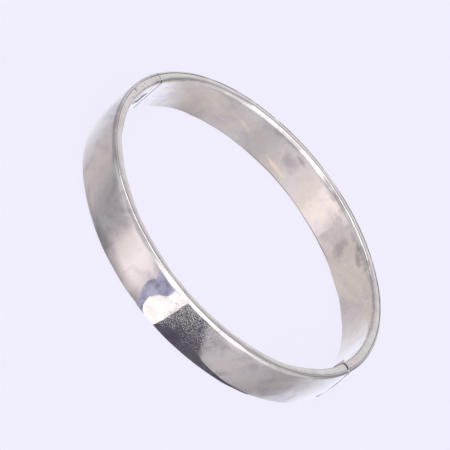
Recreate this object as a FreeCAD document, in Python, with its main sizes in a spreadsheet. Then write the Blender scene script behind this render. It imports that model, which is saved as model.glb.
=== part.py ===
"""Hollow oval bangle bracelet in two halves, with a knuckle hinge at +X and a snap clasp at -X.

Each half is an inner channel and an outer shell, swept along a four-arc oval. The bangle lies on
its lower rim: Z is the axis of the ring, X its long diameter, and both halves meet at Y = 0.
"""

import FreeCAD, Part
import math
import os
import re

import Sketcher
from FreeCAD import Placement, Rotation, Vector

doc = FreeCAD.newDocument("HingedBangle")

# ---------------------------------------------------------------- driving dimensions, mm and degrees

SIZES = {
    "inner_half_length": (30.0, "wrist opening, half of the long diameter"),
    "inner_half_width": (28.1, "wrist opening, half of the short diameter"),
    "end_radius": (27.0, "inner radius of the oval's two end arcs"),
    "band_width": (9.35, "height of the band along the ring's axis"),
    "band_depth": (2.4, "inner wall to crown of the outer shell"),
    "wall": (0.4, "sheet thickness"),
    "rim_inner_radius": (0.8, "rounding between inner wall and rim"),
    "seam": (1.45, "inner wall to the soldered seam on the rim"),
    "shoulder_radius": (0.65, "rounding of the shell's shoulders"),
    "split_gap": (0.06, "gap between the closed halves"),
    "plate": (1.0, "thickness of the end plates"),
    "mouth_plate": (0.7, "thickness of the plate around the tongue's slot"),
    "pivot_inset": (0.85, "hinge axis below the shell's crown"),
    "knuckle_radius": (0.75, "outer radius of the hinge tubes"),
    "knuckle_clearance": (0.1, "around the other half's knuckles"),
    "knuckle_gap": (0.06, "between two knuckles"),
    "barrel_inset": (0.6, "rim to the end of the hinge barrel"),
    "knuckle_count": (5.0, "hinge tubes in the barrel"),
    "pin_radius": (0.35, "hinge pin"),
    "pin_clearance": (0.03, "between the pin and the turning knuckles"),
    "opening_angle": (65.0, "how far the back half swings"),
    "notch_margin": (1.0, "degrees of room on each bevel when fully open"),
    "stop_fixed": (2.3, "soldered length of the hinge's stop leaf"),
    "stop_reach": (1.25, "length of the stop leaf past the split"),
    "stop_height": (0.45, "height of the stop leaf at its free end"),
    "stop_feather": (0.06, "height of the stop leaf at its soldered end"),
    "stop_lift": (0.08, "gap under the free end of the stop leaf"),
    "window_start": (1.4, "split to the clasp window"),
    "window_length": (2.2, "clasp window along the band"),
    "window_height": (3.2, "clasp window across the band"),
    "tongue_radius": (63.17, "outer face of the tongue, about the hinge axis"),
    "tongue_stack": (1.15, "outer face to inner face of the folded tongue"),
    "tongue_sheet": (0.27, "thickness of each leaf"),
    "tongue_width": (5.0, "tongue across the band"),
    "tongue_root": (2.0, "anchored length of the base leaf"),
    "tongue_tip": (4.4, "split to the start of the fold"),
    "leaf_joint": (0.05, "gap between the fold and the free leaf"),
    "leaf_end": (1.25, "split to the end of the free leaf"),
    "catch_start": (1.5, "split to the catch's locking face"),
    "catch_length": (1.4, "length of the catch's ramp"),
    "catch_recess": (0.06, "catch below the inner wall's surface"),
    "catch_clearance": (0.15, "catch to each side of the window"),
    "slot_clearance": (0.1, "around the tongue in the mouth plate"),
}

sheet = doc.addObject("Spreadsheet::Sheet", "Sizes")
for row, (alias, (value, note)) in enumerate(SIZES.items(), start=1):
    sheet.set(f"A{row}", alias.replace("_", " "))
    sheet.set(f"B{row}", str(value))
    sheet.set(f"C{row}", note)
    sheet.setAlias(f"B{row}", alias)
doc.recompute()

# Sizes that follow from the driving ones, as text for setExpression.
END_OFFSET = "(inner_half_length - end_radius)"
SIDE_RADIUS = (f"(({END_OFFSET}^2 + inner_half_width^2 - end_radius^2)"
               " / (2 * (inner_half_width - end_radius)))")
SIDE_OFFSET = f"({SIDE_RADIUS} - inner_half_width)"
END_ANGLE = f"acos({END_OFFSET} / ({SIDE_RADIUS} - end_radius))"
CROWN_RISE = "(band_depth - seam)"
CROWN_HALF = "(band_width / 2 - shoulder_radius)"
CROWN_RADIUS = (f"(({CROWN_RISE}^2 + {CROWN_HALF}^2 - shoulder_radius^2)"
                f" / (2 * ({CROWN_RISE} - shoulder_radius)))")
CROWN_TILT = f"asin({CROWN_HALF} / ({CROWN_RADIUS} - shoulder_radius))"
PIVOT_X = "(inner_half_length + band_depth - pivot_inset)"
BARREL = "(band_width - 2 * barrel_inset)"
KNUCKLE_PITCH = f"(({BARREL} + knuckle_gap) / knuckle_count)"
NOTCH_ANGLE = "(opening_angle / 2 + notch_margin)"
OVERRUN = 1.0    # how far cutting tools run past the band
HINGE, CLASP = 0, 180    # directions of the oval's two ends, in degrees
FRONT, BACK = -1, 1    # side of the split plane


def bound(text):
    """The expression with each size's name turned into its cell in the sheet."""
    return re.sub(r"[a-z]+(?:_[a-z]+)+|\b(?:wall|seam|plate)\b",
                  lambda m: "Sizes." + m.group(0) if m.group(0) in SIZES else m.group(0), text)


def number(text):
    """The expression's present value."""
    return float(sheet.evalExpression(bound(text)))


def bind(thing, **expressions):
    """Bind properties, written with __ for a dot, to expressions of the sizes."""
    for prop, text in expressions.items():
        thing.setExpression(prop.replace("__", "."), bound(str(text)))
    return thing


# ---------------------------------------------------------------- sketch, sweep and boolean helpers

def arc_between(start, end, radius, ccw):
    """Circular arc of less than half a turn as a sketch edge."""
    chord = end - start
    left = Vector(-chord.y, chord.x, 0).normalize() * (1 if ccw else -1)
    rise = math.sqrt(max(radius**2 - (chord.Length / 2)**2, 0.0))
    centre = start + chord / 2 + left * rise
    first, last = (start, end) if ccw else (end, start)
    angles = [math.atan2((p - centre).y, (p - centre).x) for p in (first, last)]
    return Part.ArcOfCircle(Part.Circle(centre, Vector(0, 0, 1), radius), *angles)


def outline(name, corners):
    """Closed sketch whose corners are (x, y), or (x, y, radius, ccw) where an arc leaves the corner."""
    sketch = doc.addObject("Sketcher::SketchObject", name)
    points = [Vector(number(c[0]), number(c[1]), 0) for c in corners]
    ends = []
    for i, corner in enumerate(corners):
        start, end = points[i], points[(i + 1) % len(points)]
        if len(corner) == 2:
            edge = sketch.addGeometry(Part.LineSegment(start, end), False)
            ends.append((edge, 1, 2))
            continue
        edge = sketch.addGeometry(arc_between(start, end, number(corner[2]), corner[3]), False)
        ends.append((edge, 1, 2) if corner[3] else (edge, 2, 1))
    for i, corner in enumerate(corners):
        edge, start, _ = ends[i]
        before, _, last = ends[i - 1]
        sketch.addConstraint(Sketcher.Constraint("Coincident", before, last, edge, start))
        sizes = [("DistanceX", (-1, 1, edge, start), points[i].x, corner[0]),
                 ("DistanceY", (-1, 1, edge, start), points[i].y, corner[1])]
        if len(corner) == 4:
            sizes.append(("Radius", (edge,), number(corner[2]), corner[2]))
        for kind, where, value, text in sizes:
            index = sketch.addConstraint(Sketcher.Constraint(kind, *where, value))
            sketch.setExpression(f"Constraints[{index}]", bound(text))
    return sketch


def section(name, corners, direction, centre_x="0", centre_y="0"):
    """An outline stood upright: its x runs outward from the arc's centre, its y up the band."""
    sketch = outline(name, corners)
    sketch.Placement = Placement(Vector(), Rotation(Vector(0, 0, 1), direction)
                                 * Rotation(Vector(1, 0, 0), 90))
    return bind(sketch, Placement__Base__x=centre_x, Placement__Base__y=centre_y)


def turned(name, sketch, angle, up, symmetric=False):
    """Solid of a section turned about its arc's centre."""
    turn = doc.addObject("Part::Revolution", name)
    turn.Source, turn.Solid, turn.Symmetric = sketch, True, symmetric
    turn.Axis = Vector(0, 0, up)
    return bind(turn, Angle=angle, Base__x=f"{sketch.Name}.Placement.Base.x",
                Base__y=f"{sketch.Name}.Placement.Base.y")


def end_run(name, corners, end, side, angle):
    """Run of a section from the split plane round one end arc of the oval."""
    sign = "" if end == HINGE else "-"
    sketch = section(f"{name}_section", corners("end_radius"), end, centre_x=sign + END_OFFSET)
    return turned(name, sketch, angle, side if end == HINGE else -side)


def half_ring(name, corners, side):
    """A section swept round one half of the oval: end arc, side arc, end arc."""
    hinge_run = end_run(f"{name}_hinge_run", corners, HINGE, side, END_ANGLE)
    clasp_run = end_run(f"{name}_clasp_run", corners, CLASP, side, END_ANGLE)
    sketch = section(f"{name}_side_section", corners(SIDE_RADIUS), 90 * side,
                     centre_y=("-" if side == BACK else "") + SIDE_OFFSET)
    side_run = turned(f"{name}_side_run", sketch, f"180deg - 2 * {END_ANGLE}", 1, symmetric=True)
    return fused(f"{name}_ring", [hinge_run, side_run, clasp_run])


def raised(name, corners, low, height, centre_x="0"):
    """An outline in plan, raised from one height along the ring's axis."""
    sketch = bind(outline(f"{name}_plan", corners), Placement__Base__x=centre_x,
                  Placement__Base__z=low)
    prism = doc.addObject("Part::Extrusion", name)
    prism.Base, prism.Solid = sketch, True
    prism.DirMode, prism.Dir = "Custom", Vector(0, 0, 1)
    return bind(prism, LengthFwd=height)


def box(name, x, y, z, size_x, size_y, size_z):
    return bind(doc.addObject("Part::Box", name), Length=size_x, Width=size_y, Height=size_z,
                Placement__Base__x=x, Placement__Base__y=y, Placement__Base__z=z)


def cylinder(name, radius, low, height):
    """Cylinder on the hinge axis."""
    return bind(doc.addObject("Part::Cylinder", name), Radius=radius, Height=height,
                Placement__Base__x=PIVOT_X, Placement__Base__z=low)


def fused(name, shapes):
    fusion = doc.addObject("Part::MultiFuse", name)
    fusion.Shapes, fusion.Refine = shapes, True
    return fusion


def cut(name, base, tools):
    """The base less its tools; the result is named as the last step."""
    tool = tools[0] if len(tools) == 1 else fused(f"{name}_tools", tools)
    result = doc.addObject("Part::Cut", name)
    result.Base, result.Tool, result.Refine = base, tool, True
    return result


# ---------------------------------------------------------------- sections of the band

def channel_corners(radius):
    """Inner wall with a flat rim on each side, open towards the shell."""
    inner, seam = f"{radius}", f"{radius} + seam"
    web, rim = f"{radius} + wall", f"{radius} + rim_inner_radius"
    return [(rim, "0"), (seam, "0"), (seam, "wall"), (web, "wall"),
            (web, "band_width - wall"), (seam, "band_width - wall"), (seam, "band_width"),
            (rim, "band_width", "rim_inner_radius", True),
            (inner, "band_width - rim_inner_radius"),
            (inner, "rim_inner_radius", "rim_inner_radius", True)]


def crown_path(radius, inset):
    """Shoulder, crown, shoulder: the shell's outer line, or its inner line when inset by the wall."""
    turn = f"(shoulder_radius - {inset})"
    across = f"{radius} + seam + {turn} * cos({CROWN_TILT})"
    rise = f"{turn} * sin({CROWN_TILT})"
    return [(f"{radius} + seam", inset, turn, True),
            (across, f"shoulder_radius - {rise}", f"{CROWN_RADIUS} - {inset}", True),
            (across, f"band_width - shoulder_radius + {rise}", turn, True),
            (f"{radius} + seam", f"band_width - {inset}")]


def shell_corners(radius):
    """Crowned sheet with its shoulders turned down to the seam."""
    outer = crown_path(radius, "0")
    inner = crown_path(radius, "wall")
    inner_back = [(*inner[3][:2], inner[2][2], False), (*inner[2][:2], inner[1][2], False),
                  (*inner[1][:2], inner[0][2], False), inner[0][:2]]
    return outer + inner_back


def hollow_corners(radius):
    """The space between channel and shell, which the end plates fill."""
    return [(f"{radius} + wall", "wall"), *crown_path(radius, "wall"),
            (f"{radius} + wall", "band_width - wall")]


# ---------------------------------------------------------------- cutting tools shared by both halves

REACH = "(inner_half_length + band_depth)"
split = box("split_tool", f"-{REACH} - {OVERRUN}", "-split_gap / 2", f"-{OVERRUN}",
            f"2 * {REACH} + 2 * {OVERRUN}", "split_gap", f"band_width + 2 * {OVERRUN}")
NOTCH_DEPTH = "(2 * pivot_inset)"
NOTCH_HALF = f"({NOTCH_DEPTH} * tan({NOTCH_ANGLE}))"
notch = raised("notch_tool", [("0", "0"), (NOTCH_DEPTH, f"-{NOTCH_HALF}"), (NOTCH_DEPTH, NOTCH_HALF)],
               f"-{OVERRUN}", f"band_width + 2 * {OVERRUN}", centre_x=PIVOT_X)
barrel_room = cylinder("barrel_room_tool", "knuckle_radius + knuckle_clearance",
                       "barrel_inset - knuckle_gap", f"{BARREL} + 2 * knuckle_gap")


def knuckle_low(index):
    return f"(barrel_inset + {index} * {KNUCKLE_PITCH})"


def knuckle_side(index):
    """Knuckles alternate, and the front half has the first and the last."""
    return FRONT if index % 2 == 0 else BACK


def knuckle_seats(side):
    """Seats for a half's own knuckles, and wider pockets for the other half's."""
    tools = []
    for index in range(int(SIZES["knuckle_count"][0])):
        room = "" if knuckle_side(index) == side else " + knuckle_clearance"
        tools.append(cylinder(f"seat_tool_{side + 1}_{index}", f"knuckle_radius{room}",
                              f"{knuckle_low(index)} - knuckle_gap", f"{KNUCKLE_PITCH} + knuckle_gap"))
    return tools


# ---------------------------------------------------------------- shells, channels and end plates

WINDOW_LOW = "(band_width - window_height) / 2"
window = box("window_tool", f"-inner_half_length - wall - {OVERRUN} / 4",
             "-window_start - window_length", WINDOW_LOW,
             f"wall + {OVERRUN}", "window_length", "window_height")


def plate_angle(thickness):
    return f"{thickness} / (end_radius + seam) * 180 / pi"


nodes = []
for half, side in (("front", FRONT), ("back", BACK)):
    shell_ring = half_ring(f"{half}_shell", shell_corners, side)
    nodes.append(cut(f"{half}_outer_shell", shell_ring, [split, notch, barrel_room]))
    channel_ring = half_ring(f"{half}_channel", channel_corners, side)
    channel_tools = [split, notch, barrel_room] + ([window] if side == FRONT else [])
    nodes.append(cut(f"{half}_inner_channel", channel_ring, channel_tools))
    blank = end_run(f"{half}_hinge_blank", hollow_corners, HINGE, side, plate_angle("plate"))
    nodes.append(cut(f"{half}_hinge_end_plate", blank, [split, notch] + knuckle_seats(side)))

# ---------------------------------------------------------------- hinge: knuckles, pin and stop leaf

KNUCKLE_NAMES = ["front_knuckle_bottom", "back_knuckle_lower", "front_knuckle_middle",
                 "back_knuckle_upper", "front_knuckle_top"]
for index, name in enumerate(KNUCKLE_NAMES):
    low, height = knuckle_low(index), f"{KNUCKLE_PITCH} - knuckle_gap"
    tube = cylinder(f"{name}_tube", "knuckle_radius", low, height)
    room = "" if knuckle_side(index) == FRONT else " + pin_clearance"
    bore = cylinder(f"{name}_bore", f"pin_radius{room}", f"{low} - {OVERRUN}",
                    f"{height} + 2 * {OVERRUN}")
    nodes.append(cut(name, tube, [bore]))
nodes.append(cylinder("hinge_pin", "pin_radius", "barrel_inset", BARREL))


def wall_x(y):
    """The inner wall's x near the hinge, at a given y."""
    return f"{END_OFFSET} + sqrt(end_radius^2 - ({y})^2)"


FIXED_WALL, FREE_WALL, EDGE_WALL = (wall_x(y) for y in ("stop_fixed", "stop_reach", "split_gap / 2"))
nodes.append(raised("hinge_stop_leaf", [
    (FIXED_WALL, "-stop_fixed", "end_radius", True),
    (EDGE_WALL, "-split_gap / 2"),
    (f"{EDGE_WALL} - stop_lift", "-split_gap / 2"),
    (f"{FREE_WALL} - stop_lift", "stop_reach"),
    (f"{FREE_WALL} - stop_height", "stop_reach"),
    (f"{FIXED_WALL} - stop_feather", "-stop_fixed")], "barrel_inset", BARREL))

# ---------------------------------------------------------------- clasp: folded tongue and catch

OUTER_FACE, OUTER_BACK = "tongue_radius", "(tongue_radius - tongue_sheet)"
INNER_FACE, INNER_BACK = "(tongue_radius - tongue_stack)", "(tongue_radius - tongue_stack + tongue_sheet)"
MIDDLE = "(tongue_radius - tongue_stack / 2)"
TONGUE_LOW = "(band_width - tongue_width) / 2"


def on_path(radius, past_split):
    """A point past the split on a circle about the hinge axis, so that the tongue enters freely."""
    angle = f"({past_split}) / {MIDDLE} * 1rad"
    return f"-{radius} * cos({angle})", f"-{radius} * sin({angle})"


FOLD = "(tongue_stack / 2)"
FOLD_INSIDE = "(tongue_stack / 2 - tongue_sheet)"
nodes.append(raised("tongue_base_leaf", [
    (*on_path(OUTER_FACE, "-tongue_root"), OUTER_FACE, True),
    (*on_path(OUTER_FACE, "tongue_tip"), FOLD, True),
    (*on_path(MIDDLE, f"tongue_tip + {FOLD}"), FOLD, True),
    on_path(INNER_FACE, "tongue_tip"),
    (*on_path(INNER_BACK, "tongue_tip"), FOLD_INSIDE, False),
    (*on_path(MIDDLE, f"tongue_tip + {FOLD_INSIDE}"), FOLD_INSIDE, False),
    (*on_path(OUTER_BACK, "tongue_tip"), OUTER_BACK, False),
    on_path(OUTER_BACK, "-tongue_root")], TONGUE_LOW, "tongue_width", centre_x=PIVOT_X))
base_leaf = nodes[-1]
nodes.append(raised("tongue_spring_leaf", [
    (*on_path(INNER_BACK, "leaf_end"), INNER_BACK, True),
    on_path(INNER_BACK, "tongue_tip - leaf_joint"),
    (*on_path(INNER_FACE, "tongue_tip - leaf_joint"), INNER_FACE, False),
    on_path(INNER_FACE, "leaf_end")], TONGUE_LOW, "tongue_width", centre_x=PIVOT_X))
CATCH_TOP = f"({PIVOT_X} + inner_half_length + catch_recess)"
nodes.append(raised("release_catch", [
    (*on_path(INNER_FACE, "catch_start"), INNER_FACE, True),
    on_path(INNER_FACE, "catch_start + catch_length"),
    on_path(CATCH_TOP, "catch_start")],
    f"{WINDOW_LOW} + catch_clearance", "window_height - 2 * catch_clearance", centre_x=PIVOT_X))

mouth_blank = end_run("mouth_blank", hollow_corners, CLASP, FRONT, plate_angle("mouth_plate"))
slot = box("slot_tool", f"{PIVOT_X} - tongue_radius - slot_clearance", "-2 * mouth_plate",
           f"{TONGUE_LOW} - slot_clearance", "tongue_stack + 3 * slot_clearance", "2 * mouth_plate",
           "tongue_width + 2 * slot_clearance")
nodes.append(cut("front_clasp_end_plate", mouth_blank, [split, slot]))
anchor_blank = end_run("anchor_blank", hollow_corners, CLASP, BACK, plate_angle("plate"))
nodes.append(cut("back_clasp_end_plate", anchor_blank, [split, base_leaf]))

# ---------------------------------------------------------------- check and write

doc.recompute()
failed = [thing.Name for thing in doc.Objects if {"Invalid", "Error"} & set(thing.State)]
failed += [node.Label for node in nodes if node.Shape.isNull() or not node.Shape.isValid()]
if failed:
    raise RuntimeError("failed: " + ", ".join(failed))

os.makedirs("parts", exist_ok=True)
for node in nodes:
    node.Shape.exportStep(f"parts/{node.Label}.step")
    size = node.Shape.BoundBox
    print(f"{node.Label:24s} {len(node.Shape.Solids)} solid {node.Shape.Volume:8.3f} mm3 "
          f"x {size.XMin:7.2f} {size.XMax:7.2f} y {size.YMin:7.2f} {size.YMax:7.2f} "
          f"z {size.ZMin:5.2f} {size.ZMax:5.2f}")
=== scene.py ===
"""Looks of the hollow silver bangle: swept sheet for both halves, eased fittings, polished metal."""
import math

import bmesh
import bpy
from mathutils import Matrix, Vector, noise


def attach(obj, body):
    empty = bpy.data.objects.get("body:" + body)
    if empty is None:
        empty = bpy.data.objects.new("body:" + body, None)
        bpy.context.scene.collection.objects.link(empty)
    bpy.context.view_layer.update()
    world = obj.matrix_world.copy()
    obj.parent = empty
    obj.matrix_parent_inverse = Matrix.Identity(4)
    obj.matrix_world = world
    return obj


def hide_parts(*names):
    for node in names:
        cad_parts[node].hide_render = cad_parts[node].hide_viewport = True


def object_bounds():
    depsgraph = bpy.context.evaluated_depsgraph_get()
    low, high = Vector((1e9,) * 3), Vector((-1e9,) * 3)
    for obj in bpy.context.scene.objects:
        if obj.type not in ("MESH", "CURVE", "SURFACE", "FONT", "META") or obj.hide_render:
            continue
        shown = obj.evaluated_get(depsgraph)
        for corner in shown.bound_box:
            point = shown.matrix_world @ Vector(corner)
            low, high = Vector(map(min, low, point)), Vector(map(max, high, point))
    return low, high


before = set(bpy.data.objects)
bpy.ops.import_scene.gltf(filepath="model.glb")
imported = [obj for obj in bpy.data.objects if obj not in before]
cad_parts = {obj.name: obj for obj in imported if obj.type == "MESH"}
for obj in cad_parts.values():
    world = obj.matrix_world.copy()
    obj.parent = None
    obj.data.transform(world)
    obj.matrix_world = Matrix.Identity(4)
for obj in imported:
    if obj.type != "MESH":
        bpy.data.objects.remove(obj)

cad_low, cad_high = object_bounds()
scene = bpy.context.scene
scene.view_settings.view_transform = "Standard"

MM = 0.001

# ---------------------------------------------------------------- driving sizes, in metres

BAND_DEPTH = 2.4 * MM        # inner wall to crown
WALL = 0.4 * MM              # sheet thickness
SEAM = 1.45 * MM             # inner wall to the soldered seam on the rim
RIM_ROUND = 0.8 * MM         # rounding between inner wall and rim
SHOULDER = 0.65 * MM         # rim to crown
SEAM_EASE = 0.02 * MM        # rounding of both sheets along the seam
SEAM_SLOPE = math.radians(10)    # slope of the rim where it falls towards the seam
SLOPE_START = 0.9 * MM       # inner wall to where the rim begins to fall
END_EASE = 0.10 * MM         # rounding of the sheet at the split
CLASP_WEAR = 0.05 * MM       # sheet worn back from the split at the clasp
RIM_ZONE = 0.15 * MM         # heights this close to a rim count as the rim
WORN_RUN = 6 * MM            # half the stretch of the rim that is nicked from use
WORN_PLACE = 7.5 * MM        # middle of that stretch, from the clasp split
SPLIT = 0.06 * MM            # gap between the closed halves
INNER_HALF_LENGTH = 30.0 * MM
INNER_HALF_WIDTH = 28.1 * MM
END_RADIUS = 27.0 * MM       # inner radius of the oval's end arcs
PIVOT_DEPTH = 1.55 * MM      # hinge axis from the inner wall
BARREL_ROOM = 0.85 * MM      # pocket round the hinge tubes
BARREL_INSET = 0.54 * MM     # rim to the pocket
NOTCH = math.radians(33.5)   # bevel of each half outside the hinge axis
BAND = round(cad_high.z, 6)  # height of the band

END_OFFSET = INNER_HALF_LENGTH - END_RADIUS
SIDE_RADIUS = ((END_OFFSET**2 + INNER_HALF_WIDTH**2 - END_RADIUS**2)
               / (2 * (INNER_HALF_WIDTH - END_RADIUS)))
SIDE_OFFSET = SIDE_RADIUS - INNER_HALF_WIDTH
END_ANGLE = math.acos(END_OFFSET / (SIDE_RADIUS - END_RADIUS))
END_RUN = END_RADIUS * END_ANGLE
SIDE_RUN = SIDE_RADIUS * (math.pi - 2 * END_ANGLE)
HALF_RUN = 2 * END_RUN + SIDE_RUN

FRONT, BACK = -1, 1
UP = Vector((0, 0, 1))


# ---------------------------------------------------------------- camera

# These numbers are the rounded result of a scratch program that fitted the bangle's outline to the photo.
CAMERA_AZIMUTH, CAMERA_ELEVATION, CAMERA_ROLL = (math.radians(a) for a in (11.3, 34.28, 50.888))
CAMERA_TARGET = Vector((-2.736, 1.397, 2.795)) * MM
CAMERA_DISTANCE = 425.3 * MM
CAMERA_LENS = 189.1

back = Vector((math.sin(CAMERA_AZIMUTH) * math.cos(CAMERA_ELEVATION),
               -math.cos(CAMERA_AZIMUTH) * math.cos(CAMERA_ELEVATION), math.sin(CAMERA_ELEVATION)))
camera = bpy.data.objects.new("camera", bpy.data.cameras.new("camera"))
camera.data.lens = CAMERA_LENS
camera.data.clip_start, camera.data.clip_end = 10 * MM, 10.0
camera.matrix_world = (Matrix.Translation(CAMERA_TARGET + back * CAMERA_DISTANCE)
                       @ back.to_track_quat("Z", "Y").to_matrix().to_4x4()
                       @ Matrix.Rotation(CAMERA_ROLL, 4, "Z"))
scene.collection.objects.link(camera)
scene.camera = camera


# ---------------------------------------------------------------- the oval and the band's sections

def on_oval(run, side):
    """Point of the inner wall and outward direction, at a distance from the hinge split."""
    if run <= END_RUN:
        angle, centre, radius = run / END_RADIUS, Vector((END_OFFSET, 0, 0)), END_RADIUS
    elif run <= END_RUN + SIDE_RUN:
        angle = END_ANGLE + (run - END_RUN) / SIDE_RADIUS
        centre, radius = Vector((0, -side * SIDE_OFFSET, 0)), SIDE_RADIUS
    else:
        angle = math.pi - (HALF_RUN - run) / END_RADIUS
        centre, radius = Vector((-END_OFFSET, 0, 0)), END_RADIUS
    out = Vector((math.cos(angle), side * math.sin(angle), 0))
    return centre + out * radius, out


def run_at(degrees):
    """Distance from the hinge split where the outward direction has turned this far.

    It holds from the hinge to the start of the clasp's end arc.
    """
    angle = math.radians(degrees)
    return END_RADIUS * angle if angle < END_ANGLE else END_RUN + (angle - END_ANGLE) * SIDE_RADIUS


def row(depth, height, nx, ny):
    """Point of a section with its normal and the point behind it on the sheet's hidden face."""
    return (depth, height), (nx, ny), (depth - nx * WALL, height - ny * WALL)


def arc(centre, radius, start, end, steps):
    """Rows along an arc, angles in degrees."""
    rows = []
    for i in range(steps + 1):
        a = math.radians(start + (end - start) * i / steps)
        nx, ny = math.cos(a), math.sin(a)
        rows.append(row(centre[0] + radius * nx, centre[1] + radius * ny, nx, ny))
    return rows


def flat_behind(rows):
    """The same rows with the hidden face one sheet below the rim."""
    return [(point, normal, (point[0], WALL)) for point, normal, _ in rows]


def mirrored(rows):
    """The lower rim's rows turned into the upper rim's, in the opposite order."""
    return [((d, BAND - h), (nx, -ny), (hd, BAND - hh)) for (d, h), (nx, ny), (hd, hh) in reversed(rows)]


def channel_section(extra_heights=()):
    """Outside of the channel from the lower seam round the inner wall to the upper seam."""
    slope_length = SEAM - SEAM_EASE - SLOPE_START
    slope_radius = slope_length / math.sin(SEAM_SLOPE)
    degrees = math.degrees(SEAM_SLOPE)
    fall = slope_radius * (1 - math.cos(SEAM_SLOPE))
    rim = arc((SEAM - SEAM_EASE, fall + SEAM_EASE), SEAM_EASE, 0, degrees - 90, 4)
    rim += arc((SLOPE_START, slope_radius), slope_radius, degrees - 91, -90, 6)
    rim += [row(SLOPE_START + (RIM_ROUND - SLOPE_START) * t, 0, 0, -1) for t in (0.5, 0.95)]
    crease = arc((RIM_ROUND, RIM_ROUND), RIM_ROUND, -90, -180, 10)
    lower = flat_behind(rim) + crease
    low, high = RIM_ROUND, BAND - RIM_ROUND
    heights = sorted([low + (high - low) * t for t in (0.01, *(i / 24 for i in range(1, 24)), 0.99)]
                     + list(extra_heights))
    return lower + [row(0, z, -1, 0) for z in heights] + mirrored(lower)


def shell_section():
    """Outside of the shell from the lower seam over the crown to the upper seam."""
    rise, half = BAND_DEPTH - SEAM, BAND / 2 - SHOULDER
    crown = (rise**2 + half**2 - SHOULDER**2) / (2 * (rise - SHOULDER))
    tilt = math.degrees(math.asin(half / (crown - SHOULDER)))
    lean = math.degrees(SEAM_SLOPE)
    start = math.radians(lean)
    edge = (SEAM + SHOULDER * math.sin(start), SHOULDER - SHOULDER * math.cos(start))
    centre = (edge[0] - SEAM_EASE * math.sin(start), edge[1] + SEAM_EASE * math.cos(start))
    lower = flat_behind(arc(centre, SEAM_EASE, 180, 270 + lean, 5)[:-1])
    lower += arc((SEAM, SHOULDER), SHOULDER, lean - 90, -tilt, 12)
    return lower + arc((BAND_DEPTH - crown, BAND / 2), crown, -tilt, tilt, 28)[1:-1] + mirrored(lower)


def hinge_end(depth, height):
    """How far the sheet stays from the split at the hinge: bevel outside the axis, pocket inside."""
    past = depth - PIVOT_DEPTH
    reach = SPLIT / 2 + max(0.0, past) * math.tan(NOTCH)
    if BARREL_INSET < height < BAND - BARREL_INSET and abs(past) < BARREL_ROOM:
        reach = max(reach, math.sqrt(BARREL_ROOM**2 - past**2))
    return reach


def plain_end(depth, height):
    return SPLIT / 2


def worn_end(depth, height):
    return SPLIT / 2 + CLASP_WEAR


# ---------------------------------------------------------------- swept sheet

SHEET_CREASE, FITTING_CREASE = 40, 50    # degrees beyond which an edge is drawn sharp

WAVE_SIZE = 5.5 * MM     # length of the hand-worked unevenness
WAVE_HEIGHT = 0.016 * MM
WAVE_FADE = 2 * MM       # from an end of the sheet to its full unevenness
SEAM_CALM = 0.5 * MM     # from the seam, where both sheets meet flush, to full unevenness
CREASE_WAVE = 4.0        # extra unevenness where the sheet was folded over
RUN_STEPS = 300          # even steps along each half
CLOSEST_STATIONS = 0.002 * MM


def unevenness(run, height, side, seed):
    """Height of the sheet's slow, hand-worked waves."""
    where = Vector((run / WAVE_SIZE, height / WAVE_SIZE * 0.8, seed + side * 7.3))
    return WAVE_HEIGHT * (noise.noise(where) + 0.45 * noise.noise(where * 2.3))


def stations(extra=()):
    """Distances along a half, as shares of its run; close together at both ends."""
    ease = [END_EASE * (1 - math.cos(math.radians(a))) for a in (0, 22.5, 45, 67.5, 90)]
    close = [1.5 * END_EASE, 3 * END_EASE]
    middle = [HALF_RUN * i / RUN_STEPS for i in range(1, RUN_STEPS)]
    runs = sorted(set(ease + close + middle + [HALF_RUN - x for x in ease + close] + list(extra)))
    kept = [runs[0]]
    for x in runs[1:]:
        if x - kept[-1] > CLOSEST_STATIONS:
            kept.append(x)
    return kept


def end_inset(distance):
    """How far a rounded end draws the sheet's faces in, at a distance from the end."""
    if distance >= END_EASE:
        return 0.0
    return END_EASE - math.sqrt(max(END_EASE**2 - (END_EASE - distance)**2, 0.0))


HINGE_SPLIT_SHADE = 1.3        # share of painted shade at the hinge split, up to the hinge axis
HINGE_SHADE_REACH = 3 * END_EASE
CLASP_SPLIT_SHADE = 0.9        # the same painted shade on the inner wall at the clasp split
RIM_SPLIT_SHADE = 0.1          # and a little painted shade elsewhere at the clasp split
# a darker line along the seam, where both sheets meet
SEAM_LINE_DARKENING = 0.2


def shade_and_seam_line_at(depth, on_rim, near_hinge, near_clasp):
    """Share of darkening: painted shade in both splits, deepest on the inner wall, and a little along the
    seam.
    """
    hinge_share = HINGE_SPLIT_SHADE if depth < PIVOT_DEPTH else 0.0
    clasp_share = CLASP_SPLIT_SHADE if depth < RIM_ROUND / 2 else RIM_SPLIT_SHADE
    at_hinge = hinge_share * (1 - near_hinge / HINGE_SHADE_REACH)
    at_clasp = clasp_share * (1 - near_clasp / END_EASE)
    shade_and_seam_share = max(at_hinge, at_clasp, 0.0)
    if on_rim:
        shade_and_seam_share = max(shade_and_seam_share, SEAM_LINE_DARKENING * (1 - abs(depth - SEAM) / (2 * SEAM_EASE)))
    return shade_and_seam_share


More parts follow.
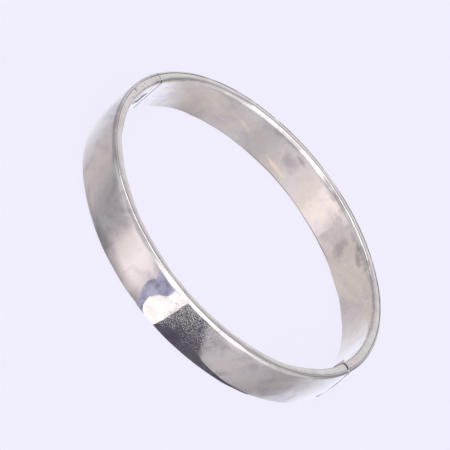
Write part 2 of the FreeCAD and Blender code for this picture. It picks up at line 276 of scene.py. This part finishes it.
def swept_sheet(name, section, side, hinge_shape, runs, wave, seed, window=None):
    """Closed sheet-metal mesh: a section with thickness, swept round one half of the oval."""
    count = len(section)
    bm = bmesh.new()
    band = bm.verts.layers.float_vector.new("band")
    # share of painted shade in the splits, and of a darker line along the seam
    shade_and_seam_line = bm.verts.layers.float.new("shade_and_seam_line")
    wear = bm.verts.layers.float.new("wear")

    def place(depth, height, run, normal):
        start = hinge_shape(depth, height)
        along = start + (HALF_RUN - start - worn_end(depth, height)) * run / HALF_RUN
        point, out = on_oval(along, side)
        faded = min(1.0, min(run, HALF_RUN - run) / WAVE_FADE)
        faded *= min(1.0, abs(depth - SEAM) / SEAM_CALM)
        folded = 1 + CREASE_WAVE * abs(2 * normal[0] * normal[1])
        bump = unevenness(along, height, side, seed) * wave * faded * folded
        lift = (out * normal[0] + UP * normal[1]) * bump
        vert = bm.verts.new(point + out * depth + UP * height + lift)
        vert[band] = (along, height, depth)
        on_rim = min(height, BAND - height) < RIM_ZONE
        vert[shade_and_seam_line] = shade_and_seam_line_at(depth, on_rim, run, HALF_RUN - run)
        if on_rim and side == FRONT:
            vert[wear] = max(0.0, 1 - abs(HALF_RUN - run - WORN_PLACE) / WORN_RUN)

    for run in runs:
        inset = end_inset(min(run, HALF_RUN - run))
        for (depth, height), (nx, ny), _ in section:
            place(depth - nx * inset, height - ny * inset, run, (nx, ny))
        for (depth, height), _, (hid_depth, hid_height) in reversed(section):
            dx, dy = depth - hid_depth, height - hid_height
            length = math.hypot(dx, dy)
            place(hid_depth + dx / length * inset, hid_height + dy / length * inset, run, (0, 0))
    bm.verts.ensure_lookup_table()
    loop = 2 * count
    grid = [bm.verts[i * loop:(i + 1) * loop] for i in range(len(runs))]

    def in_window(i, j):
        if window is None:
            return False
        low_run, high_run, low, high = window
        pair = [section[k if k < count else loop - 1 - k] for k in (j, (j + 1) % loop)]
        middle = sum(point[1] for point, _, _ in pair) / 2
        return (low_run < (runs[i] + runs[i + 1]) / 2 < high_run and low < middle < high
                and all(normal == (-1, 0) for _, normal, _ in pair))

    for i in range(len(runs) - 1):
        for j in range(loop):
            k = (j + 1) % loop
            if not in_window(i, j):
                bm.faces.new((grid[i][j], grid[i][k], grid[i + 1][k], grid[i + 1][j]))
    for ring in (grid[0], grid[-1]):
        for j in range(count - 1):
            bm.faces.new((ring[j], ring[j + 1], ring[loop - 2 - j], ring[loop - 1 - j]))
    if window is not None:
        bmesh.ops.bridge_loops(bm, edges=[e for e in bm.edges if len(e.link_faces) == 1])
    bmesh.ops.recalc_face_normals(bm, faces=bm.faces)
    return finished(name, bm, SHEET_CREASE)


def finished(name, bm, sharp_degrees):
    """Object from a bmesh, smooth except across edges sharper than the angle."""
    for face in bm.faces:
        face.smooth = True
    for edge in bm.edges:
        edge.smooth = len(edge.link_faces) != 2 or edge.calc_face_angle(0) < math.radians(sharp_degrees)
    mesh = bpy.data.meshes.new(name)
    bm.to_mesh(mesh)
    bm.free()
    thing = bpy.data.objects.new(name, mesh)
    scene.collection.objects.link(thing)
    return thing


# ---------------------------------------------------------------- materials

def nodes_of(name):
    """A new material with its node tree and its shader."""
    material = bpy.data.materials.new(name)
    material.use_nodes = True
    tree = material.node_tree
    return material, tree, tree.nodes["Principled BSDF"]


class Graph:
    """Short calls for building a node tree."""

    def __init__(self, tree):
        self.tree = tree

    def add(self, kind, inputs=None, **settings):
        node = self.tree.nodes.new(kind)
        for key, value in settings.items():
            setattr(node, key, value)
        for key, value in (inputs or {}).items():
            if isinstance(value, bpy.types.NodeSocket):
                self.tree.links.new(value, node.inputs[key])
            else:
                node.inputs[key].default_value = value
        return node

    def math(self, operation, a, b=0.0, clamp=False):
        return self.add("ShaderNodeMath", {0: a, 1: b}, operation=operation,
                        use_clamp=clamp).outputs[0]

    def fade(self, value, low, high, to_low=0.0, to_high=1.0):
        return self.add("ShaderNodeMapRange", {"Value": value, "From Min": low, "From Max": high,
                                               "To Min": to_low, "To Max": to_high}).outputs[0]

    def mix(self, share, a, b):
        node = self.add("ShaderNodeMix", data_type="RGBA")
        for socket, value in ((node.inputs[0], share), (node.inputs[6], a), (node.inputs[7], b)):
            if isinstance(value, bpy.types.NodeSocket):
                self.tree.links.new(value, socket)
            else:
                socket.default_value = value
        return node.outputs[2]

    def noise(self, where, scale, detail=2.0, rough=0.5, distortion=0.0):
        return self.add("ShaderNodeTexNoise", {"Vector": where, "Scale": scale, "Detail": detail,
                                               "Roughness": rough, "Distortion": distortion}
                        ).outputs["Fac"]

    def stretched(self, where, stretch):
        return self.add("ShaderNodeMapping", {"Vector": where, "Scale": stretch}).outputs[0]


# Colour of the painted shade in the splits and of the darker seam line
SHADE_AND_SEAM_TONE = (0.10, 0.09, 0.10, 1)
PIT = (0.45, 0.42, 0.43, 1)
NICK = (0.22, 0.20, 0.21, 1)

# Scratches by direction in radians, how many times longer than wide, and where the pattern starts.
SCRATCHES = (
    (0.35, 26.0, 0.0),
    (1.25, 30.0, 3.1),
    (-0.6, 24.0, 5.7),
    (0.9, 32.0, 9.4),
    (-1.2, 28.0, 12.3),
)
RUBBED_SPOT = (13.2 * MM, -29.0 * MM, 5 * MM)     # where the shell is most scratched
RUBBED_REACH = 6.5 * MM
RUBBED_REST = 0.07       # share of the scratches left beyond the rubbed spot

# Scales of the noise patterns, per metre.
CLOUD_SCALE, BLUSH_SCALE, WAVE_SCALE, WORN_SCALE = 170.0, 140.0, 240.0, 260.0
RAGGED_SCALE, SCRATCH_SCALE, NICK_SCALE = 520.0, 900.0, 1200.0
PIT_SCALE, GRAIN_SCALE = 2600.0, 5200.0

# Depths of the relief, as shares of its full height.
RELIEF_HEIGHT = 0.02 * MM
WAVE_RELIEF, SCRATCH_RELIEF, NICK_RELIEF, GRAIN_RELIEF = 1.6, 0.5, 1.5, 0.004


def hairlines(g, where, turn, length, seed):
    """Thin scratches in one direction: 1 on a scratch, 0 beside it."""
    lines = g.add("ShaderNodeMapping", {"Vector": where, "Rotation": (0, 0, turn),
                                        "Location": (seed * MM, 2 * seed * MM, 0)}).outputs[0]
    lines = g.stretched(lines, (1.0, length, 1.0))
    return g.fade(g.noise(lines, SCRATCH_SCALE, 1.0, 0.5, 0.15), 0.66, 0.74)


def stain(g, band, ragged, degrees, height, length, width, slant):
    """An oval mark with a ragged edge: 1 inside, 0 outside. Its place and size are in degrees and mm."""
    centre = (run_at(degrees), height * MM, 0)
    about = g.add("ShaderNodeMapping", {"Vector": band, "Location": centre, "Rotation": (0, 0, slant),
                                        "Scale": (length / 2 * MM, width / 2 * MM, 1)},
                  vector_type="TEXTURE").outputs[0]
    away = g.add("ShaderNodeVectorMath", {0: about}, operation="LENGTH").outputs["Value"]
    return g.fade(g.math("ADD", away, ragged), 1.35, 0.45)


def silver(name, light, tarnish, blush, roughness, rough_spread, scratch, grain, waviness, stains=()):
    """Polished silver: tarnish and warm blush in slow patches, hairline scratches, fine pits, painted
    shade in the splits and a darker seam line.
    """
    material, tree, shader = nodes_of(name)
    g = Graph(tree)
    band = g.add("ShaderNodeAttribute", attribute_name="band").outputs["Vector"]
    shade_and_seam_share = g.add("ShaderNodeAttribute", attribute_name="shade_and_seam_line").outputs["Fac"]
    nicked = g.add("ShaderNodeAttribute", attribute_name="wear").outputs["Fac"]
    body = g.add("ShaderNodeTexCoord").outputs["Object"]
    place = g.add("ShaderNodeSeparateXYZ", {"Vector": band})
    height = place.outputs["Y"]
    on_inside = g.fade(place.outputs["Z"], 0.4 * MM, 0.7 * MM, 1.0, 0.0)
    off_middle = g.math("ABSOLUTE", g.math("SUBTRACT", height, BAND / 2))
    on_wall = g.fade(off_middle, BAND / 2 - 0.5 * MM, BAND / 2 - 1.3 * MM)
    cloud = g.noise(body, CLOUD_SCALE, 4.0, 0.6, 0.9)
    warm = g.fade(g.noise(body, BLUSH_SCALE, 2.0, 0.5, 0.5), 0.46, 0.64)
    warm = g.math("MULTIPLY", warm, on_wall)
    colour = g.mix(g.fade(cloud, 0.44, 0.64), light, tarnish)
    colour = g.mix(warm, colour, blush)
    ragged = g.fade(g.noise(body, RAGGED_SCALE, 2.0, 0.5, 0.4), 0.3, 0.7, -0.45, 0.45)
    for oval, tone, strength in stains:
        mark = g.math("MULTIPLY", stain(g, band, ragged, *oval), on_inside)
        mark = g.math("MULTIPLY", mark, strength)
        colour = g.mix(mark, colour, tone)
    hair = 0.0
    for turn, length, seed in SCRATCHES:
        hair = g.math("MAXIMUM", hairlines(g, band, turn, length, seed), hair)
    from_spot = g.add("ShaderNodeVectorMath", {0: body, 1: RUBBED_SPOT},
                      operation="DISTANCE").outputs["Value"]
    rubbed = g.fade(from_spot, 0.75 * RUBBED_REACH, RUBBED_REACH, 1.0, RUBBED_REST)
    worn = g.fade(g.noise(body, WORN_SCALE, 2.0), 0.36, 0.58, 0.5, 1.0)
    hair = g.math("MULTIPLY", hair, g.math("MULTIPLY", g.math("MULTIPLY", worn, rubbed), scratch))
    fine = g.noise(body, GRAIN_SCALE, 3.0, 0.6)
    pits = g.math("MULTIPLY", g.fade(g.noise(body, PIT_SCALE, 1.0), 0.71, 0.77), 0.5 * grain)
    nicks = g.math("ADD", g.noise(body, NICK_SCALE, 2.0), g.math("MULTIPLY", nicked, 0.22))
    nicks = g.fade(nicks, 0.77, 0.82)
    colour = g.mix(pits, colour, PIT)
    colour = g.mix(nicks, colour, NICK)
    # painted shade in the splits and the darker seam line
    colour = g.mix(g.fade(shade_and_seam_share, 0.1, 0.7), colour, SHADE_AND_SEAM_TONE)
    tree.links.new(colour, shader.inputs["Base Color"])
    rough = g.fade(cloud, 0.3, 0.7, roughness, roughness + rough_spread)
    rough = g.math("ADD", rough, g.math("MULTIPLY", hair, 0.25))
    rough = g.math("ADD", rough, g.math("MULTIPLY", shade_and_seam_share, 0.4))
    rough = g.math("ADD", rough, g.fade(fine, 0.4, 0.7, 0.0, 0.03 * grain), clamp=True)
    tree.links.new(rough, shader.inputs["Roughness"])
    slow = g.noise(body, WAVE_SCALE, 2.0, 0.5, 0.3)
    relief = g.math("MULTIPLY", slow, WAVE_RELIEF * waviness)
    relief = g.math("ADD", relief, g.math("MULTIPLY", fine, GRAIN_RELIEF * grain))
    relief = g.math("SUBTRACT", relief, g.math("MULTIPLY", hair, SCRATCH_RELIEF))
    relief = g.math("SUBTRACT", relief, g.math("MULTIPLY", nicks, NICK_RELIEF))
    bump = g.add("ShaderNodeBump", {"Height": relief, "Strength": 1.0, "Distance": RELIEF_HEIGHT})
    tree.links.new(bump.outputs[0], shader.inputs["Normal"])
    shader.inputs["Metallic"].default_value = 1.0
    return material


DUSKY = (0.56, 0.52, 0.56, 1)
DULL = (0.62, 0.59, 0.59, 1)
WARM = (0.94, 0.87, 0.78, 1)

# Tarnish on the back of the inner wall: each oval as stain() takes it, its tone and its strength.
INNER_STAINS = (
    ((92, 4.2, 9.0, 6.5, 0.2), WARM, 0.8),
    ((50, 5.0, 9.0, 4.0, 0.0), WARM, 0.25),
    ((124, 5.0, 9.0, 3.0, 0.3), WARM, 0.5),
    ((107, 5.4, 4.6, 2.6, 0.5), DUSKY, 0.6),
    ((105, 7.6, 2.4, 1.0, 0.0), DUSKY, 0.8),
    ((72, 4.6, 2.6, 4.6, -0.4), DUSKY, 0.7),
    ((65, 7.6, 4.5, 1.4, 0.1), DUSKY, 0.8),
    ((112, 8.9, 8.0, 1.8, 0.0), DULL, 1.0),
    ((90, 8.9, 7.0, 1.8, 0.0), DULL, 1.0),
    ((65, 8.9, 5.0, 1.8, 0.0), DULL, 1.0),
)

outer_silver = silver("outer_silver", (0.90, 0.87, 0.865, 1), (0.68, 0.64, 0.67, 1),
                      (0.90, 0.86, 0.84, 1), roughness=0.03, rough_spread=0.05, scratch=1.0,
                      grain=1.0, waviness=0.8)
inner_silver = silver("inner_silver", (0.95, 0.925, 0.91, 1), (0.84, 0.79, 0.81, 1),
                      (0.97, 0.91, 0.85, 1), roughness=0.07, rough_spread=0.06, scratch=0.2,
                      grain=0.7, waviness=4.5, stains=INNER_STAINS)
fittings_silver = silver("fittings_silver", (0.88, 0.86, 0.86, 1), (0.68, 0.65, 0.66, 1),
                         (0.86, 0.83, 0.80, 1), roughness=0.22, rough_spread=0.12, scratch=0.6,
                         grain=1.0, waviness=0.5)


# ---------------------------------------------------------------- both halves

WINDOW_START, WINDOW_LENGTH, WINDOW_HEIGHT = 1.4 * MM, 2.2 * MM, 3.2 * MM
window_box = (HALF_RUN - WINDOW_START - WINDOW_LENGTH, HALF_RUN - WINDOW_START,
              (BAND - WINDOW_HEIGHT) / 2, (BAND + WINDOW_HEIGHT) / 2)

SHELL_WAVE, SHELL_SEED = 1.0, 11.0
CHANNEL_WAVE, CHANNEL_SEED = 1.6, 23.0

for half, side, body in (("front", FRONT, "front_half"), ("back", BACK, "back_half")):
    shell = swept_sheet(f"{half}_shell", shell_section(), side, hinge_end, stations(),
                        SHELL_WAVE, SHELL_SEED)
    shell.data.materials.append(outer_silver)
    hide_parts(f"{half}_outer_shell")
    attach(shell, body)
    hole = window_box if side == FRONT else None
    channel = swept_sheet(f"{half}_channel", channel_section(window_box[2:] if hole else ()), side,
                          plain_end, stations(window_box[:2] if hole else ()),
                          CHANNEL_WAVE, CHANNEL_SEED, hole)
    channel.data.materials.append(inner_silver)
    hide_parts(f"{half}_inner_channel")
    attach(channel, body)

# ---------------------------------------------------------------- fittings, eased from the CAD solids

FITTINGS = {
    "front_half": ["front_hinge_end_plate", "front_clasp_end_plate", "front_knuckle_bottom",
                   "front_knuckle_middle", "front_knuckle_top", "hinge_pin", "hinge_stop_leaf"],
    "back_half": ["back_hinge_end_plate", "back_clasp_end_plate", "back_knuckle_lower",
                  "back_knuckle_upper", "tongue_base_leaf"],
    "catch_spring": ["tongue_spring_leaf", "release_catch"],
}
FITTING_EASE = 0.04 * MM             # rounding of the filed edges
SAME_POINT = 0.0005 * MM             # points of the CAD mesh this close are one
FLAT_ENOUGH = math.radians(0.5)
FILED_EDGE = math.radians(35)


def eased_copy(node, width):
    """The fitting with its filed edges rounded."""
    bm = bmesh.new()
    bm.from_mesh(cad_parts[node].data)
    bmesh.ops.remove_doubles(bm, verts=bm.verts, dist=SAME_POINT)
    bmesh.ops.dissolve_limit(bm, angle_limit=FLAT_ENOUGH, verts=bm.verts, edges=bm.edges)
    sharp = [e for e in bm.edges if len(e.link_faces) == 2 and e.calc_face_angle(0) > FILED_EDGE]
    bmesh.ops.bevel(bm, geom=sharp, offset=width, segments=2, profile=0.5, affect="EDGES",
                    clamp_overlap=True)
    bmesh.ops.recalc_face_normals(bm, faces=bm.faces)
    return finished(node.replace("tongue", "clasp_tongue") + "_eased", bm, FITTING_CREASE)


for body, names in FITTINGS.items():
    for node in names:
        piece = eased_copy(node, FITTING_EASE)
        piece.data.materials.append(fittings_silver)
        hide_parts(node)
        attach(piece, body)

# ---------------------------------------------------------------- floor and studio

PAPER = (0.865, 0.846, 0.975, 1)    # pale lavender paper
PAPER_GLOW = 0.935                  # most of its light is its own, so that it stays even
PAPER_MATT = (0.08, 0.08, 0.09, 1)  # the rest takes the light and the object's shade
PAPER_DEPTH = 0.02 * MM
PAPER_REACH = 4.0
floor_mesh = bpy.data.meshes.new("floor")
quarters = ((-1, -1), (1, -1), (1, 1), (-1, 1))
floor_mesh.from_pydata([(x * PAPER_REACH, y * PAPER_REACH, 0) for x, y in quarters], [], [(0, 1, 2, 3)])
floor = bpy.data.objects.new("floor", floor_mesh)
floor.location.z = -PAPER_DEPTH
scene.collection.objects.link(floor)
floor.visible_glossy = False
paper = bpy.data.materials.new("paper")
paper.use_nodes = True
g = Graph(paper.node_tree)
paper.node_tree.nodes.clear()
glow = g.add("ShaderNodeEmission", {"Color": PAPER, "Strength": PAPER_GLOW}).outputs[0]
matt = g.add("ShaderNodeBsdfDiffuse", {"Color": PAPER_MATT}).outputs[0]
both = g.add("ShaderNodeAddShader", {0: glow, 1: matt}).outputs[0]
g.add("ShaderNodeOutputMaterial", {"Surface": both})
floor_mesh.materials.append(paper)

# Cards lying under the paper: the polished band mirrors them, and the paper hides them from above.
# Each has a tone, how mottled it is, its soft side and its corners in millimetres. A soft side is a
# direction in degrees from +X, and how far along it the card begins to fade and has gone.
# The slate, white and charcoal cards are not drawn freely: of their 22 different corners, 10 lie within
# 0.7 mm of points that a scratch program worked out from the edges of the patches in the photo.
NO_SOFT_SIDE = (0, 1000, 1001)
CARDS = {
    "slate_card": ((0.60, 0.60, 0.81), 1.0, NO_SOFT_SIDE, [
        (0, -56), (3.5, -45), (2.4, -39), (2.8, -34.6), (3.8, -32), (4.5, -29), (6.5, -29), (5.4, -31.3),
        (5.3, -34.2), (6.6, -38), (9.4, -42), (11, -47), (12, -56)]),
    "white_card": ((1.30, 1.24, 1.22), 0.0, NO_SOFT_SIDE, [
        (6.5, -29), (5.4, -31.3), (5.3, -34.2), (6.6, -38), (9.4, -42), (11, -47), (12, -56),
        (21, -56), (13, -37.9), (10.4, -31.9), (8.6, -28.5)]),
    "charcoal_card": ((0.12, 0.11, 0.145), 0.3, (28, 3.8, 5.4), [
        (8.6, -28.5), (10.4, -31.9), (13, -37.9), (21, -56), (38, -52), (32, -40), (26, -29),
        (22, -24), (17, -24)]),
    # A dark card standing in for the shadow on the paper at the band's foot: the band mirrors it as a
    # painted shadow.
    "contact_shadow_card": ((0.14, 0.13, 0.16), 0.5, (60, 8.0, 12.0), [
        (16, -27.6), (19.3, -27.2), (20, -25.8), (24.5, -20.5), (27, -17), (25.5, -16), (17, -24)]),
    "inner_card": ((0.66, 0.61, 0.61), 0.25, NO_SOFT_SIDE, [
        (17, 21.6), (12.5, 26), (4.5, 26.5), (-1.2, 16.5), (4, 18), (10, 19.5)]),
    "clasp_card": ((0.60, 0.56, 0.56), 0.15, (200, 10, 20), [
        (-22.5, 17.5), (-27, 10), (-21, 12.5), (-17, 15), (-11, 15.5), (-12, 17.5)]),
    "streak_card": ((0.70, 0.66, 0.66), 0.0, NO_SOFT_SIDE, [
        (-12.5, 18.9), (-13.6, 17.2), (-13.1, 16.6), (-12.6, 17.2), (-11.8, 18.4)]),
    "gleam_card": ((0.82, 0.72, 0.64), 0.0, NO_SOFT_SIDE, [
        (-7.2, 24.2), (-9.5, 23.0), (-10.2, 21.4), (-8.8, 22.2), (-6.6, 23.4)]),
}
CARD_DEPTH = 0.04 * MM


def card(name, tone, mottle, soft_side, corners):
    """A flat glowing card under the paper."""
    mesh = bpy.data.meshes.new(name)
    mesh.from_pydata([(x * MM, y * MM, 0) for x, y in corners], [], [tuple(range(len(corners)))])
    thing = bpy.data.objects.new(name, mesh)
    thing.location.z = -CARD_DEPTH
    scene.collection.objects.link(thing)
    material = bpy.data.materials.new(name)
    material.use_nodes = True
    material.node_tree.nodes.clear()
    g = Graph(material.node_tree)
    where = g.add("ShaderNodeTexCoord").outputs["Object"]
    streaks = g.noise(g.stretched(where, (1.0, 0.3, 1.0)), 420.0, 4.0, 0.75)
    tint = g.mix(g.fade(streaks, 0.35, 0.65, 0.0, mottle), (*tone, 1), (*(c * 0.4 for c in tone), 1))
    degrees, start, end = soft_side
    turned = g.add("ShaderNodeMapping", {"Vector": where, "Rotation": (0, 0, -math.radians(degrees))})
    along = g.add("ShaderNodeSeparateXYZ", {"Vector": turned.outputs[0]}).outputs["X"]
    gone = g.fade(along, start * MM, end * MM)
    glow = g.add("ShaderNodeEmission", {"Color": tint}).outputs[0]
    clear = g.add("ShaderNodeBsdfTransparent").outputs[0]
    both = g.add("ShaderNodeMixShader", {0: gone, 1: glow, 2: clear}).outputs[0]
    g.add("ShaderNodeOutputMaterial", {"Surface": both})
    mesh.materials.append(material)


for name, (tone, mottle, soft_side, corners) in CARDS.items():
    card(name, tone, mottle, soft_side, corners)

# Tones of the room by compass direction, in degrees from +X: what lies below the table's edge, the edge
# itself and the walls, and how warm the light is there. They were chosen with a scratch program's list
# of the photo's colours by mirrored direction at hand, then changed over several rounds of renders.
ROOM = [
    (0, 0.48, 0.62, 0.66, 0.0), (15, 0.39, 0.52, 0.61, 0.0), (25, 0.48, 0.50, 0.58, -0.2),
    (33, 0.64, 0.38, 0.45, -0.5), (45, 0.76, 0.24, 0.30, -1.0), (56, 0.88, 0.55, 0.30, -1.2),
    (66, 0.98, 0.50, 0.45, -1.4), (80, 1.04, 0.66, 0.72, -1.6), (125, 0.95, 0.72, 0.72, -1.1),
    (145, 0.80, 0.62, 0.56, -0.8), (158, 0.68, 0.50, 0.48, -0.3), (170, 0.58, 0.40, 0.42, 0.2),
    (185, 0.56, 0.42, 0.34, 0.4), (198, 0.50, 0.34, 0.42, 0.2), (206, 0.40, 0.50, 0.62, -0.2),
    (224, 0.42, 0.74, 0.62, -0.2), (232, 0.54, 0.72, 0.50, 0.0), (240, 0.78, 0.92, 0.64, 0.5),
    (254, 1.00, 0.96, 0.64, 0.6), (262, 0.92, 0.72, 0.90, 0.4), (268, 0.80, 0.45, 1.35, 0.3),
    (287, 0.68, 0.45, 1.35, 0.3), (303, 0.58, 0.40, 1.30, 0.1), (312, 0.50, 0.60, 1.28, 0.0),
    (322, 0.50, 0.72, 1.25, 0.0), (330, 0.58, 0.76, 1.15, 0.0), (342, 0.56, 0.70, 1.05, 0.1),
    (352, 0.52, 0.66, 0.90, 0.0), (360, 0.48, 0.62, 0.66, 0.0),
]
WARMTH = 0.055          # red gained and blue lost at a warmth of 1
OVERHEAD = (0.46, 0.43, 0.45, 1)
STRIP_LIGHT = (2.2, 2.1, 2.15, 1)     # a strip light above, along the band's long diameter
TABLE_EDGE = (-0.42, -0.34, -0.22)    # heights of direction: below the table, its edge, the walls
FOOT_SHADE = 0.5        # share of light left close to the band's foot, on the camera's side
STRIP_ACROSS = (-0.12, -0.06, 0.14, 0.20)     # Y over Z where the strip light starts and ends softly
STRIP_ALONG = (-0.85, -0.6, 0.3, 0.6)         # X over Z, the same
OVERHEAD_FROM, OVERHEAD_FULL = 0.97, 1.08     # Z plus half of Y where the overhead tone takes over
WOBBLE = 0.03                                 # unevenness of the compass directions, in radians


def compass_ramp(g, share, column, green, warmth_share):
    """Colour by compass direction from one column of the room's tones."""
    ramp = g.add("ShaderNodeValToRGB", {"Fac": share})
    stops = ramp.color_ramp.elements
    stops.remove(stops[1])
    for i, entry in enumerate(ROOM):
        stop = stops[0] if i == 0 else stops.new(entry[0] / 360)
        level, warmth = entry[column], WARMTH * entry[4] * warmth_share
        stop.position = entry[0] / 360
        stop.color = (level * (1 + warmth), level * green, level * (1 - warmth), 1)
    return ramp.outputs[0]


world = bpy.data.worlds.new("studio")
scene.world = world
world.use_nodes = True
world.node_tree.nodes.clear()
g = Graph(world.node_tree)
way = g.add("ShaderNodeTexCoord").outputs["Generated"]
split = g.add("ShaderNodeSeparateXYZ", {"Vector": way})
turn = g.math("ARCTAN2", split.outputs["Y"], split.outputs["X"])
wobble = g.fade(g.noise(way, 2.2, 2.0), 0.3, 0.7, -WOBBLE, WOBBLE)
share = g.math("DIVIDE", g.math("ADD", turn, wobble), 2 * math.pi)
share = g.math("FRACT", g.math("ADD", share, 1.0))
height = split.outputs["Z"]
table = compass_ramp(g, share, 1, 0.945, 1.0)
edge = compass_ramp(g, share, 2, 0.945, 1.0)
wall = compass_ramp(g, share, 3, 0.98, -0.1)
forward = g.math("MULTIPLY", split.outputs["Y"], -1.0)
foot = g.fade(height, -0.68, -0.80, 0.0, 1.0 - FOOT_SHADE)
foot = g.math("MULTIPLY", g.fade(forward, 0.15, 0.42), foot)
table = g.mix(foot, table, (0, 0, 0, 1))
room = g.mix(g.fade(height, TABLE_EDGE[0], TABLE_EDGE[1]), table, edge)
room = g.mix(g.fade(height, TABLE_EDGE[1], TABLE_EDGE[2]), room, wall)
lean = g.math("ADD", height, g.math("MULTIPLY", split.outputs["Y"], 0.5))
room = g.mix(g.fade(lean, OVERHEAD_FROM, OVERHEAD_FULL), room, OVERHEAD)
above = g.math("MAXIMUM", height, 0.01)
across, along = (g.math("DIVIDE", split.outputs[axis], above) for axis in ("Y", "X"))
strip = 1.0
for way_off, (start, full, fading, end) in ((across, STRIP_ACROSS), (along, STRIP_ALONG)):
    strip = g.math("MULTIPLY", strip, g.fade(way_off, start, full))
    strip = g.math("MULTIPLY", strip, g.fade(way_off, end, fading))
room = g.mix(strip, room, STRIP_LIGHT)
seen = g.add("ShaderNodeLightPath").outputs["Is Camera Ray"]
lit = g.mix(seen, room, PAPER)
g.add("ShaderNodeOutputWorld", {"Surface": g.add("ShaderNodeBackground", {"Color": lit}).outputs[0]})
